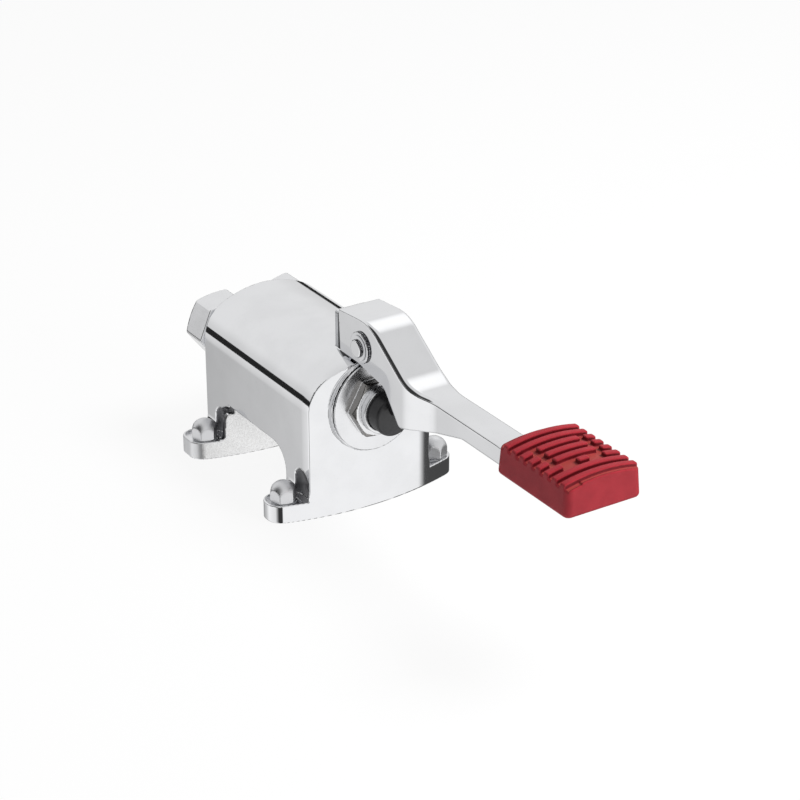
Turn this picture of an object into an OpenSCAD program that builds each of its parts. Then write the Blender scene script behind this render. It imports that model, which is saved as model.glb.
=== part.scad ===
// Floor-mounted foot pedal valve: a cast arch body on four feet, a push valve along the front axis
// and a hinged lever with a rubber pedal pad. Millimetres, +Z up, the pedal points to -Y.
// The origin is the centre of the four floor bolts, on the base plane.

/* [Body] */
// Distance of the bolts from the side walls, across the body
bolt_out = 8; // [7:0.2:12]
// Bolt spacing along the body
bolt_dy = 71; // [66:1:76]
// Diameter of the bolt holes in the feet
bolt_hole_d = 7; // [6.8:0.2:8]
// Height of the feet
foot_h = 8.6; // [8:0.2:11]
// Radius of the rounded foot ends
foot_r = 7.4; // [7:0.1:8]
// Reach of the feet past the bolts, across the body
foot_reach = 7.8; // [7.6:0.1:9]
// Reach of the front feet behind the bolts
front_foot_back = 8.5; // [7.8:0.1:10]
// Reach of the rear feet behind the bolts
rear_foot_back = 11; // [8:0.1:12]
// Depth of the washer recess in the feet
foot_recess = 1.3; // [0.8:0.1:2]
// Width of the rim round the washer recess
foot_rim = 1.2; // [0.8:0.1:1.4]
// Width of the arch
body_w = 62; // [60:0.5:64]
// Height of the crown of the arch
crown_z = 72; // [71.8:0.2:76]
// Radius of the crown
crown_r = 46; // [42:1:60]
// Radius of the two shoulders of the arch
shoulder_r = 18; // [14:1:20]
// Distance of the front edge of the feet from the bolts
front_lip = 6.56; // [6:0.02:7.4]
// Distance of the rear edge of the feet from the bolts
rear_lip = 6.96; // [6:0.02:8]
// Radius of the bow of the front and rear plates
bow_r = 140; // [120:5:180]
// Distance from the bolt centre to the bowed inner face of the rear plate
rear_plate_y = 23.4; // [21:0.2:25]
// Height of the open arch under the side walls
tunnel_h = 25.5; // [22:0.5:28]
// Distance from the bolt centre to the back of the front legs
tunnel_front = 23.7; // [21:0.1:25]
// Radius of the front corner of the open arch
tunnel_fillet = 11; // [6:1:14]
// Thickness of the side walls
wall = 5; // [4:0.5:6]
// Height of the ceiling of the hollow under the valve
ceiling_z = 44; // [40:0.5:44.5]
// Radius of the spanner pockets beside the nuts
pocket_r = 9.6; // [9:0.1:10.2]
// Height where the spanner pockets begin to dome over
pocket_z = 16; // [14:0.5:18]
// Distance of the spanner pockets in front of the nuts
pocket_lead = 2.2; // [0:0.1:2.4]
// Radius of the flare between the legs and the feet
flare_r = 5; // [3:0.5:6]

/* [Valve] */
// Height of the valve axis
axis_z = 49.7; // [49.2:0.1:50]
// Radius of the round boss on the front plate
boss_r = 21.8; // [21.2:0.1:22]
// Height of the boss face in front of the plate
boss_proud = 0.6; // [0.4:0.1:1.5]
// Radius of the bonnet flange
flange_r = 21.2; // [18:0.1:21.4]
// Thickness of the bonnet flange
flange_t = 1.4; // [1:0.1:2.5]
// Hexagon of the bonnet across flats
bonnet_af = 25; // [24:0.5:28]
// Height of the bonnet hexagon
bonnet_hex_h = 4.2; // [3:0.1:6]
// Radius of the bonnet thread
bonnet_thread_r = 14; // [13.6:0.1:15]
// Length of the bonnet thread
bonnet_thread_l = 18.3; // [17:0.1:22]
// Radius of the push button
button_r = 9; // [8:0.1:9.5]
// Length of the push button in front of the bonnet
button_out = 10.4; // [9.6:0.1:12]
// Working travel of the push button
travel = 5.5; // [4:0.1:5.9]
// Radius of the valve stem
stem_r = 4; // [3.5:0.1:4.5]
// Radius of the seat sleeve
sleeve_r = 12.4; // [12:0.1:12.8]
// Length of the seat sleeve
sleeve_l = 24; // [22:0.5:26]
// Radius of the opening in the seat
orifice_r = 6.5; // [5.5:0.1:7]
// Radius of the valve washer
washer_r = 8.6; // [8.2:0.1:8.8]
// Radius of the rear chamber
chamber_r = 10; // [9.8:0.1:10.4]
// Depth of the rear chamber
chamber_l = 31; // [28:0.5:34]
// Wire diameter of the return spring
spring_wire = 1.6; // [1.2:0.1:1.8]
// Middle radius of the return spring
spring_r = 7.2; // [6.8:0.1:7.6]
// Turns of the return spring
spring_turns = 6; // [5:1:7]

/* [Ports] */
// Distance between the inlet and the outlet
port_dx = 35; // [34.4:0.1:36]
// Height of the ports
port_z = 51.5; // [51:0.1:52]
// Hexagon of the unions across flats
union_af = 27; // [26:0.5:29]
// Length of the union hexagons
union_l = 15.5; // [14:0.5:18]
// Radius of the female thread in the unions
port_r = 9.3; // [8.8:0.1:9.5]
// Depth of the female thread in the unions
port_depth = 12; // [10:0.5:13]
// Radius of the union thread in the body
spigot_r = 10.2; // [10:0.1:10.4]
// Length of the union thread in the body
spigot_l = 12; // [9:0.5:14]
// Radius of the water passages
passage_r = 5.5; // [4:0.1:5.7]
// Turn of the inlet hexagon as it is screwed home
inlet_turn = 9; // [0:1:59]
// Turn of the outlet hexagon as it is screwed home
outlet_turn = 20; // [0:1:59]

/* [Lever] */
// Distance of the hinge pin in front of the front plate
pivot_over = 5.9; // [5.5:0.1:7]
// Height of the hinge pin above the crown
pivot_rise = 8.8; // [8.6:0.1:11]
// Width of the lever head
lever_w = 20.2; // [19.6:0.1:22]
// Thickness of the cheeks of the lever head
cheek_t = 3.2; // [2.6:0.1:3.4]
// Thickness of the top of the lever head
lever_top_t = 3.5; // [3:0.1:3.9]
// Width of the lever arm
arm_w = 14; // [12:0.2:15]
// Height of the lever arm
arm_h = 9.7; // [9:0.1:11]
// Length of the lever from the hinge pin to the end of the arm
arm_l = 134.5; // [128:0.5:140]
// Width of the nose that pushes the button
nose_w = 8; // [6:0.1:9]
// Radius of the nose
nose_r = 3; // [2:0.1:3.5]
// Height of the nose above the valve axis
nose_up = 6.3; // [5:0.1:6.8]
// Radius of the hinge pin
pin_r = 4; // [3.5:0.1:4.2]
// Length of the hinge pin past the lever at each side
pin_out = 3; // [2.6:0.1:4]
// Radius of the washers on the hinge pin
pin_washer_r = 7; // [6.4:0.1:7.4]
// Thickness of the washers on the hinge pin
pin_washer_t = 1.1; // [0.9:0.1:1.5]
// Radius of the lug that carries the hinge pin
lug_r = 7.5; // [7.2:0.1:7.8]

/* [Pad] */
// Width of the rubber pad
pad_w = 33.2; // [31:0.2:36]
// Length of the rubber pad
pad_l = 44; // [43:0.5:48]
// Height of the crown of the tread above the bottom of the pad
pad_h = 15.7; // [15:0.1:18]
// Radius of the crown of the tread
pad_crown_r = 72; // [60:1:100]
// Depth of the tread grooves
tread_depth = 2.1; // [1:0.1:2.6]
// Distance between the tread ribs
tread_pitch = 5.2; // [5:0.1:5.3]
// Width of the tread ribs
tread_rib = 3; // [2.4:0.1:3.6]
// Radius of the pad corners
pad_corner_r = 1.6; // [1.2:0.1:3]
// Spread of the pad sides from the tread to the bottom
pad_draft = 0.9; // [0.4:0.1:1.2]
// Thickness of the rubber round the pedal plate
pad_wall = 3.3; // [2.4:0.1:3.6]
// Thickness of the pedal plate
plate_t = 4.2; // [3.5:0.1:5]

/* [Fasteners] */
// Cap nuts across flats
nut_af = 10; // [9:0.5:11]
// Height of the nut hexagon
nut_hex_h = 5.4; // [4.5:0.1:6]
// Height of the nut dome
nut_dome_h = 3.7; // [3:0.1:4.4]
// Radius of the nut thread
nut_bore_r = 3; // [2.8:0.1:3.2]
// Depth of the nut thread
nut_bore_l = 6.4; // [5:0.1:6.8]
// Thickness of the foot washers
foot_washer_t = 1.2; // [1:0.1:2]

/* [Hidden] */
$fn = 64;

// Clearances
slip = 0.05;     // running shafts and threads, on the radius
free = 0.3;      // curved faces that move past each other
cut = 1;         // overrun of a cut past a face
arc_step = 6;    // largest turn between the points of a rounded outline

// Bolt spacing across the body, and how far the bowed faces stand out past the bolts
bolt_dx = body_w + 2 * bolt_out;
bow_sag = bow_r - sqrt(pow(bow_r, 2) - pow(bolt_dx / 2, 2));
front_y = bolt_dy / 2 + front_lip + bow_sag;
rear_y = bolt_dy / 2 + rear_lip + bow_sag;

// Places along the valve axis, positive towards the rear
plate_y = -front_y;
boss_face_y = plate_y - boss_proud;
flange_face_y = boss_face_y - flange_t;
bonnet_face_y = flange_face_y - bonnet_hex_h;
bonnet_end_y = boss_face_y + bonnet_thread_l;
button_front_y = bonnet_face_y - button_out;
button_in = 9;
button_rear_y = bonnet_face_y + button_in;
button_edge = 1.4;
button_bore_end_y = button_rear_y + travel + free;
sleeve_end_y = bonnet_end_y + sleeve_l;
seat_lip = 1;
seat_wall = 3;
seat_y = sleeve_end_y + seat_lip;
valve_washer_t = 3;
holder_t = 3.5;
holder_r = washer_r + 0.4;
holder_nut_af = 8;
holder_nut_h = 3;
stem_tail_r = 2.5;
stem_tail_y = seat_y + valve_washer_t + holder_t + holder_nut_h + 1.5;
holder_y = seat_y + valve_washer_t;
holder_rear_y = holder_y + holder_t;
chamber_end_y = sleeve_end_y + chamber_l;
bush_r = stem_r + 2;
seal_wire = 2;
bush_gap = 0.2;

// Gaskets
bonnet_gasket_t = 1;
bonnet_gasket_w = 3.5;
port_gasket_t = 1.5;
port_gasket_w = 1.4;

// Hinge
pivot_y = plate_y - pivot_over;
pivot_z = crown_z + pivot_rise;
cheek_in = lever_w / 2 - cheek_t;
lug_gap = 0.5;
lug_w = 2 * (cheek_in - lug_gap);
hinge_bush_t = 1.5;
clip_t = 0.8;
clip_r = pin_r + 1.6;
clip_groove = 0.8;
clip_x = lever_w / 2 + pin_washer_t + 0.1;
pin_half = lever_w / 2 + pin_out;

// Lever outline as places from the hinge pin, and the nose at the valve axis
nose_y = button_front_y - free - nose_r;
nose_z = axis_z + nose_up;
arm_root_dz = -5;
arm_top_dz = -4.3;
arm_end_y = pivot_y - arm_l;
head_rear_dy = 18.6;
head_rake = 1.4;
plate_bottom_dz = -5.4;

// Pad and pedal plate
pad_rear_y = arm_end_y + 23.3;
pad_front_y = pad_rear_y - pad_l;
pad_bottom_z = pivot_z - 8.2;
pad_top_z = pad_bottom_z + pad_h;
pad_fit = 0.1;
tread_first = 2.9;
plate_w = pad_w - 2 * pad_wall - 2 * pad_fit;
plate_rear_y = pad_rear_y - pad_wall - pad_fit;
plate_front_y = pad_front_y + pad_wall + pad_fit;
plate_z = pivot_z + plate_bottom_dz;

// Foot recess floor, washers and nuts
recess_z = foot_h - foot_recess;
washer_fit = 0.15;
foot_washer_r = nut_af / 2 + 0.5;
nut_z = recess_z + foot_washer_t;

chrome = [0.80, 0.81, 0.83];
brass = [0.78, 0.62, 0.30];
black = [0.10, 0.10, 0.11];
red = [0.72, 0.10, 0.14];
steel = [0.62, 0.63, 0.65];
fibre = [0.45, 0.16, 0.12];

// Outlines with rounded corners: each point is [x, y, corner radius]
function unit(v) = v / norm(v);
function turn(a) = a > 180 ? a - 360 : a < -180 ? a + 360 : a;
function flat(p) = [p.x, p.y];
function corner(p, before, after, r) =
  let (u = unit(before - p), w = unit(after - p), half = acos(u * w) / 2)
  let (c = p + unit(u + w) * r / sin(half), d = r / tan(half))
  let (s = p + u * d - c, e = p + w * d - c, a = atan2(s.y, s.x))
  let (sweep = turn(atan2(e.y, e.x) - a), n = max(1, ceil(abs(sweep) / arc_step)))
  r == 0 ? [p] : [for (i = [0:n]) c + r * [cos(a + sweep * i / n), sin(a + sweep * i / n)]];
function rounded(v) =
  let (k = len(v))
  [for (i = [0:k - 1]) each corner(flat(v[i]), flat(v[(i + k - 1) % k]), flat(v[(i + 1) % k]), v[i].z)];
function from_pin(v) = [for (p = v) [pivot_y + p.x, pivot_z + p.y, p.z]];
function mirrored(v) = [for (i = [len(v) - 1:-1:0]) [-v[i].x, v[i].y, v[i].z]];

// Solids along the three axes
module along_x(w) {
  rotate([90, 0, 90]) linear_extrude(w, center = true) children();
}
module along_y(y0, y1) {
  translate([0, y1, 0]) rotate([90, 0, 0]) linear_extrude(y1 - y0) children();
}
module rod_y(r, y0, y1, x = 0, z = axis_z) {
  translate([x, y1, z]) rotate([90, 0, 0]) cylinder(r = r, h = y1 - y0);
}
module rod_x(r, x0, x1, y, z) {
  translate([x0, y, z]) rotate([0, 90, 0]) cylinder(r = r, h = x1 - x0);
}
module ring_y(r_in, r_out, y0, y1, x = 0, z = axis_z) {
  difference() {
    rod_y(r_out, y0, y1, x, z);
    rod_y(r_in, y0 - cut, y1 + cut, x, z);
  }
}
module ring_x(r_in, r_out, x0, x1, y, z) {
  difference() {
    rod_x(r_out, x0, x1, y, z);
    rod_x(r_in, x0 - cut, x1 + cut, y, z);
  }
}
module o_ring_y(r_in, wire, y) {
  translate([0, y, axis_z]) rotate([90, 0, 0])
    rotate_extrude() translate([r_in + wire / 2, 0]) circle(d = wire, $fn = 24);
}
// Hexagon along +Z from 0 with chamfered corners at the ends that are asked for
module hexagon(af, h, low = true, high = true, round = 0.98) {
  corner_r = af / sqrt(3) + 0.1;
  rim = af / 2 * round;
  drop = (corner_r - rim) * tan(30);
  foot = low ? rim : corner_r;
  head = high ? rim : corner_r;
  intersection() {
    cylinder(d = af / cos(30), h = h, $fn = 6);
    rotate_extrude()
      polygon([[0, 0], [foot, 0], [corner_r, low ? drop : 0], [corner_r, high ? h - drop : h], [head, h], [0, h]]);
  }
}
nut_turns = [[45, 45], [27, 12]];
module at_bolts() {
  for (i = [0, 1], k = [0, 1])
    translate([(2 * i - 1) * bolt_dx / 2, (2 * k - 1) * bolt_dy / 2, 0]) children();
}

// Body outlines
crown_c = crown_z - crown_r;
shoulder_x = body_w / 2 - shoulder_r;
shoulder_z = crown_c + sqrt(pow(crown_r - shoulder_r, 2) - pow(shoulder_x, 2));
blend_a = atan2(shoulder_z - crown_c, shoulder_x);
function arch_side() = [
  for (a = [0:blend_a / 9:blend_a + 0.01])
    [shoulder_x + shoulder_r * cos(a), shoulder_z + shoulder_r * sin(a)]
];
function arch_crown() = [
  for (i = [1:15])
    let (a = blend_a + (180 - 2 * blend_a) * i / 16)
    [crown_r * cos(a), crown_c + crown_r * sin(a)]
];
function arch_mirror(v) = [for (i = [len(v) - 1:-1:0]) [-v[i].x, v[i].y]];
module arch_outline() {
  side = arch_side();
  polygon(concat([[body_w / 2, 0]], side, arch_crown(), arch_mirror(side), [[-body_w / 2, 0]]));
}
module bow(y, top) {
  translate([0, y + bow_r, -cut]) cylinder(r = bow_r, h = top + 2 * cut, $fn = 180);
}
// Plan of one pair of feet: the front corner runs into the bowed face, the back is square to the body
foot_step = 0.05;
foot_back_r = 6;
foot_x = bolt_dx / 2 + foot_reach;
front_back_y = -bolt_dy / 2 + front_foot_back;
rear_back_y = bolt_dy / 2 + rear_foot_back;
function foot_side(bow_y, back_y, inset) =
  let (cx = foot_x - foot_r, by = bow_y + bow_r, r = foot_r - foot_step - inset)
  let (cy = by - sqrt(pow(bow_r - foot_r, 2) - cx * cx), a = atan2(cy - by, cx), n = ceil(-a / arc_step))
  let (rb = foot_back_r - inset, bx = foot_x - foot_step - foot_back_r, reach = bow_r + cut - inset)
  concat(
    [[body_w / 4, bow_y - cut], [reach * cos(a), by + reach * sin(a)]],
    [for (i = [0:n]) [cx + r * cos(a - a * i / n), cy + r * sin(a - a * i / n)]],
    [for (b = [0:15:90]) [bx + rb * cos(b), back_y - foot_back_r + rb * sin(b)]]
  );
module feet(bow_y, back_y) {
  right = foot_side(bow_y, back_y, 0);
  linear_extrude(foot_h) polygon(concat(right, arch_mirror(right)));
}
// Recess round the bolts that leaves a rim on the outside
module foot_recess_cut(bow_y, back_y) {
  side = foot_side(bow_y, back_y, foot_rim);
  low_y = bow_y + foot_rim;
  intersection() {
    translate([0, 0, recess_z]) linear_extrude(foot_recess + cut) polygon(concat(side, arch_mirror(side)));
    bow(low_y, foot_h);
    union() {
      for (s = [-1, 1]) translate([s * (foot_x + body_w / 2 + flare_r / 2) / 2, 0, 0])
        cube([foot_x - body_w / 2 - flare_r / 2, 4 * bolt_dy, 4 * foot_h], center = true);
    }
  }
}
// Concave flare between a leg and a foot
module flare(y0, y1) {
  side = body_w / 2 - cut;
  reach = body_w / 2 + flare_r;
  low = foot_h - cut;
  arc = [for (a = [0:10:90]) [reach - flare_r * sin(a), foot_h + flare_r - flare_r * cos(a)]];
  for (s = [-1, 1]) scale([s, 1, 1])
    along_y(y0, y1) polygon(concat([[side, low], [reach, low]], arc, [[side, foot_h + flare_r]]));
}
module spanner_pockets() {
  at_bolts() translate([0, -pocket_lead, foot_h]) cylinder(r = pocket_r, h = pocket_z - foot_h);
  at_bolts() translate([0, -pocket_lead, pocket_z]) sphere(r = pocket_r);
}
// Notch that joins each rear pocket with the open arch over the corner of the rear plate
module rear_notches() {
  y = rear_plate_y + notch_r;
  z = tunnel_h - notch_r + 0.3;
  inner_x = body_w / 2 - wall / 2;
  for (s = [-1, 1]) scale([s, 1, 1]) rod_x(notch_r, inner_x, bolt_dx, y, z);
}
// Open arch under the side walls, in front of the rear plate, and the hollow above it
module side_tunnel() {
  difference() {
    union() {
      along_x(bolt_dx + 4 * foot_r) polygon(rounded([
        [-tunnel_front, -2 * cut, 0], [bolt_dy, -2 * cut, 0],
        [bolt_dy, tunnel_h, 0], [-tunnel_front, tunnel_h, tunnel_fillet]
      ]));
      difference() {
        translate([-body_w / 2 + wall, plate_y + 2.2 * wall, -cut])
          cube([body_w - 2 * wall, bolt_dy + front_y, ceiling_z + cut]);
        rod_y(bonnet_thread_r + wall - cut, plate_y, bolt_dy);
      }
    }
    bow(rear_plate_y, ceiling_z + cut);
  }
}
notch_r = 4.6;
// Edge of the rear plate that stands a little past the wall, in front of each rear pocket
rib_out = 2.2;
rib_t = 2.4;
rib_foot = 2;
module rear_ribs() {
  wide = body_w / 2 + rib_out;
  side = [
    [wide + rib_foot, recess_z - 1, 0], [wide + rib_foot, foot_h, 0],
    [wide, foot_h, rib_foot], [wide - 0.9, tunnel_h - notch_r + 0.5, 3]
  ];
  intersection() {
    along_y(rear_plate_y - cut, rear_back_y) polygon(rounded(concat(side, mirrored(side))));
    difference() {
      bow(rear_plate_y, crown_z);
      bow(rear_plate_y + rib_t, 2 * crown_z);
    }
  }
}
rear_core_wall = 7;
module rear_core() {
  translate([-body_w / 2 + wall + cut, rear_plate_y + rear_core_wall, -cut])
    cube([body_w - 2 * wall - 2 * cut, rear_y - wall - rear_plate_y - rear_core_wall, tunnel_h + 8]);
}
// Lug that carries the hinge pin over the front edge of the crown
lug_low_dz = crown_z - pivot_z - 6;
lug_sit_dz = crown_z - pivot_z + 0.2;
lug_front_dy = -lug_r;
lug_top_dz = lug_r + 0.3;
module hinge_lug() {
  along_x(lug_w) polygon(rounded(from_pin([
    [16, lug_low_dz, 0], [6, lug_top_dz, lug_r - 0.5], [lug_front_dy, lug_top_dz, lug_r - 0.5],
    [lug_front_dy, -lug_r, 6], [pivot_over + 1.6, lug_sit_dz, 0], [pivot_over + 1.6, lug_low_dz, 0]
  ])));
}
module water_ways() {
  x = port_dx / 2;
  inlet_end = holder_rear_y + 4;
  outlet_end = sleeve_end_y - sleeve_l / 2 - passage_r;
  rod_y(passage_r, inlet_end, rear_y, -x, port_z);
  rod_y(passage_r, outlet_end, rear_y, x, port_z);
  rod_x(passage_r - 1, -x, 0, inlet_end + passage_r, axis_z + 1);
  rod_x(passage_r - 1, 0, x, outlet_end + passage_r, axis_z + 1);
}
module valve_bores() {
  gasket_r = bonnet_thread_r + bonnet_gasket_w;
  rod_y(bonnet_thread_r + slip, boss_face_y - cut, bonnet_end_y);
  rod_y(gasket_r + slip, boss_face_y - cut, boss_face_y + bonnet_gasket_t);
  rod_y(sleeve_r + slip, bonnet_end_y - cut, sleeve_end_y);
  rod_y(chamber_r, sleeve_end_y - cut, chamber_end_y);
  for (s = [-1, 1]) {
    rod_y(spigot_r + slip, rear_y - spigot_l - 1, rear_y + cut, s * port_dx / 2, port_z);
    rod_y(spigot_r + port_gasket_w + slip, rear_y - port_gasket_t, rear_y + cut, s * port_dx / 2, port_z);
  }
}

module valve_body() color(chrome) {
  rear_ribs();
  difference() {
    union() {
      intersection() {
        union() {
          along_y(plate_y - cut, rear_y) arch_outline();
          feet(plate_y, front_back_y);
          flare(plate_y, front_back_y);
        }
        bow(plate_y, crown_z);
      }
      intersection() {
        union() {
          feet(rear_plate_y, rear_back_y);
          flare(rear_plate_y, rear_back_y);
        }
        bow(rear_plate_y, crown_z);
      }
      rod_y(boss_r, boss_face_y, plate_y + wall);
      hinge_lug();
    }
    spanner_pockets();
    rear_notches();
    foot_recess_cut(plate_y, front_back_y);
    foot_recess_cut(rear_plate_y, rear_back_y);
    side_tunnel();
    rear_core();
    valve_bores();
    water_ways();
    at_bolts() translate([0, 0, recess_z]) cylinder(r = foot_washer_r + washer_fit, h = foot_recess + cut);
    at_bolts() translate([0, 0, -cut]) cylinder(d = bolt_hole_d, h = foot_h + 2 * cut);
    rod_x(pin_r + slip + hinge_bush_t, -lug_w, lug_w, pivot_y, pivot_z);
  }
}

// Screwed union with a female thread; the hexagon sits on the rear face
module port_union(x, hex_turn) {
  difference() {
    union() {
      translate([x, rear_y + union_l, port_z]) rotate([90, 0, 0]) rotate(hex_turn)
        hexagon(union_af, union_l, true, false, 0.93);
      rod_y(spigot_r, rear_y - spigot_l, rear_y + cut, x, port_z);
    }
    rod_y(port_r, rear_y + union_l - port_depth, rear_y + union_l + cut, x, port_z);
    rod_y(passage_r + 0.5, rear_y - spigot_l - cut, rear_y + union_l, x, port_z);
  }
}
module inlet_union() color(chrome) port_union(-port_dx / 2, inlet_turn);
module outlet_union() color(chrome) port_union(port_dx / 2, outlet_turn);
module port_gasket(x) {
  ring_y(spigot_r + slip, spigot_r + port_gasket_w, rear_y - port_gasket_t, rear_y, x, port_z);
}
module inlet_gasket() color(fibre) port_gasket(-port_dx / 2);
module outlet_gasket() color(fibre) port_gasket(port_dx / 2);

// Flanged bonnet: guides the button and the stem, and clamps the seat sleeve
module bonnet() color(chrome) {
  difference() {
    union() {
      translate([0, flange_face_y, axis_z]) rotate([90, 0, 0]) hexagon(bonnet_af, bonnet_hex_h, false, true);
      rod_y(flange_r, flange_face_y, boss_face_y);
      rod_y(bonnet_thread_r, flange_face_y, bonnet_end_y);
    }
    rod_y(button_r + slip, bonnet_face_y - cut, button_bore_end_y);
    rod_y(bush_r + slip, button_bore_end_y - cut, bonnet_end_y + cut);
  }
}
module bonnet_gasket() color(fibre)
  ring_y(bonnet_thread_r + slip, bonnet_thread_r + bonnet_gasket_w, boss_face_y, boss_face_y + bonnet_gasket_t);
module stem_seal() color(black) o_ring_y(stem_r + slip, seal_wire, button_bore_end_y + seal_wire / 2);
module stem_bush() color(brass)
  ring_y(stem_r + slip, bush_r, button_bore_end_y + seal_wire + bush_gap, bonnet_end_y);

// Seat sleeve: side ports to the outlet, and a raised lip round the opening at its rear end
module seat_sleeve() color(brass) {
  middle = sleeve_end_y - sleeve_l / 2;
  inner_r = sleeve_r - 3;
  groove_half = passage_r;
  seal_groove_y = sleeve_end_y - seat_wall - seal_wire;
  difference() {
    union() {
      rod_y(sleeve_r, bonnet_end_y, sleeve_end_y);
      rod_y(orifice_r + 1, sleeve_end_y - cut, seat_y);
    }
    rod_y(inner_r, bonnet_end_y - cut, sleeve_end_y - seat_wall);
    rod_y(orifice_r, bonnet_end_y, seat_y + cut);
    ring_y(sleeve_r - 1.4, sleeve_r + cut, middle - groove_half, middle + groove_half);
    ring_y(sleeve_r - seal_wire - slip, sleeve_r + cut, seal_groove_y, seal_groove_y + seal_wire + bush_gap);
    for (a = [0, 90]) translate([0, middle, axis_z]) rotate([0, a, 0])
      cylinder(r = passage_r - 1.5, h = 3 * sleeve_r, center = true);
  }
}
module seat_seal() color(black)
  o_ring_y(sleeve_r - seal_wire, seal_wire, sleeve_end_y - seat_wall - seal_wire / 2 + bush_gap / 2);

// Button with a rounded front edge, a stepped skirt inside the bonnet and a socket for the stem
module push_button() color(black) {
  profile = rounded([
    [0, 0, 0], [button_r, 0, button_edge],
    [button_r, button_rear_y - button_front_y, 0], [0, button_rear_y - button_front_y, 0]
  ]);
  difference() {
    translate([0, button_front_y, axis_z]) rotate([-90, 0, 0]) rotate_extrude() polygon(profile);
    rod_y(stem_r + slip, button_front_y + 4, button_rear_y + cut);
  }
}
module valve_stem() color(steel) {
  rod_y(stem_r, button_front_y + 4, seat_y);
  rod_y(stem_tail_r, seat_y - cut, stem_tail_y);
}
module valve_washer() color(black)
  ring_y(stem_tail_r + slip, washer_r, seat_y, holder_y);
module washer_holder() color(brass)
  ring_y(stem_tail_r + slip, holder_r, holder_y, holder_rear_y);
module holder_nut() color(brass) {
  difference() {
    translate([0, holder_rear_y + holder_nut_h, axis_z]) rotate([90, 0, 0])
      hexagon(holder_nut_af, holder_nut_h, true, false);
    rod_y(stem_tail_r + slip, holder_rear_y - cut, holder_rear_y + holder_nut_h + cut);
  }
}

// Return spring: one helical wire between the holder and the end of the chamber
spring_sides = 6;
spring_rings = 8 * spring_turns;
spring_y0 = holder_rear_y + spring_wire / 2 + slip;
spring_y1 = chamber_end_y - spring_wire / 2 - slip;
spring_pitch = (spring_y1 - spring_y0) / spring_turns;
function spring_at(i) = [spring_r * cos(i * 45), spring_y0 + spring_pitch * i / 8, axis_z + spring_r * sin(i * 45)];
function spring_ring(i) =
  let (c = spring_at(i), out = [cos(i * 45), 0, sin(i * 45)])
  [for (k = [0:spring_sides - 1]) c + spring_wire / 2 * (cos(k * 60) * out + sin(k * 60) * [0, 1, 0])];
spring_points = [for (i = [0:spring_rings]) each spring_ring(i)];
function spring_index(i, k) = i * spring_sides + k % spring_sides;
spring_walls = [
  for (i = [0:spring_rings - 1], k = [0:spring_sides - 1])
    each [
      [spring_index(i, k), spring_index(i, k + 1), spring_index(i + 1, k + 1)],
      [spring_index(i, k), spring_index(i + 1, k + 1), spring_index(i + 1, k)]
    ]
];
spring_ends = [
  [for (k = [spring_sides - 1:-1:0]) k],
  [for (k = [0:spring_sides - 1]) spring_index(spring_rings, k)]
];
module return_spring() color(steel)
  polyhedron(points = spring_points, faces = concat(spring_walls, spring_ends));
echo(spring_self_gap = spring_pitch - spring_wire);  // return_spring

// Lever side outlines, as [y, z, corner radius]
function head_outline() = from_pin([
  [head_rear_dy - head_rake, -8.2, 1], [head_rear_dy, 11.2, 2], [-7.3, 13.5, 22], [-35.5, arm_root_dz, 24],
  [-arm_l, arm_top_dz, 0], [-arm_l, arm_top_dz - arm_h + 6.5, 2], [-arm_l + 22, arm_top_dz - arm_h, 8],
  [-71, arm_top_dz - arm_h, 10], [-29.1, -25.8, 3], [-17.5, -11.8, 5], [3.5, -8.4, 6]
]);
// Hollow of the head: open below, closed by the top, the cheeks and the rear end
function hollow_outline() = from_pin([
  [head_rear_dy - head_rake - cheek_t, -40, 0], [head_rear_dy - head_rake - cheek_t, 11.2 - lever_top_t, 3],
  [-7.3 + 1, 13.5 - lever_top_t, 18], [-32.5, arm_root_dz - lever_top_t, 4], [-48, -40, 0]
]);
// Plan of the lever, as [x, y, corner radius]
function lever_plan() =
  let (head = lever_w / 2, arm = arm_w / 2)
  let (right = [
    [arm, arm_end_y - cut, 0], [arm, pivot_y - 50.5, 30], [head, pivot_y - 34.5, 30], [head, pivot_y + head_rear_dy, 1]
  ])
  rounded(concat(right, mirrored(right)));
// Cross web in the head with a tongue in the middle that pushes the button
module lever_nose() {
  web_y = nose_y + nose_r - 1.5;
  web_t = 5;
  web_z = pivot_z - 10.8;
  web_h = 17;
  translate([-cheek_in - 0.5, web_y - web_t, web_z]) cube([lever_w - 2 * cheek_t + 1, web_t, web_h]);
  along_x(nose_w) polygon(rounded([
    [nose_y + nose_r, nose_z - nose_r, nose_r - 0.1], [nose_y + nose_r, web_z + 6, 0],
    [nose_y - nose_r, web_z + 6, 0], [nose_y - nose_r, nose_z - nose_r, nose_r - 0.1]
  ]));
}
module pedal_plate() {
  r = pad_corner_r;
  translate([0, 0, plate_z]) linear_extrude(plate_t) polygon(rounded([
    [plate_w / 2, plate_rear_y, r], [plate_w / 2, plate_front_y, r],
    [-plate_w / 2, plate_front_y, r], [-plate_w / 2, plate_rear_y, r]
  ]));
}
module pedal_lever() color(chrome) {
  difference() {
    union() {
      intersection() {
        difference() {
          along_x(lever_w) polygon(rounded(head_outline()));
          along_x(2 * cheek_in) polygon(rounded(hollow_outline()));
        }
        translate([0, 0, pivot_z - 40]) linear_extrude(80) polygon(lever_plan());
      }
      lever_nose();
      pedal_plate();
    }
    rod_x(pin_r + slip, -lever_w, lever_w, pivot_y, pivot_z);
  }
}

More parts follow.
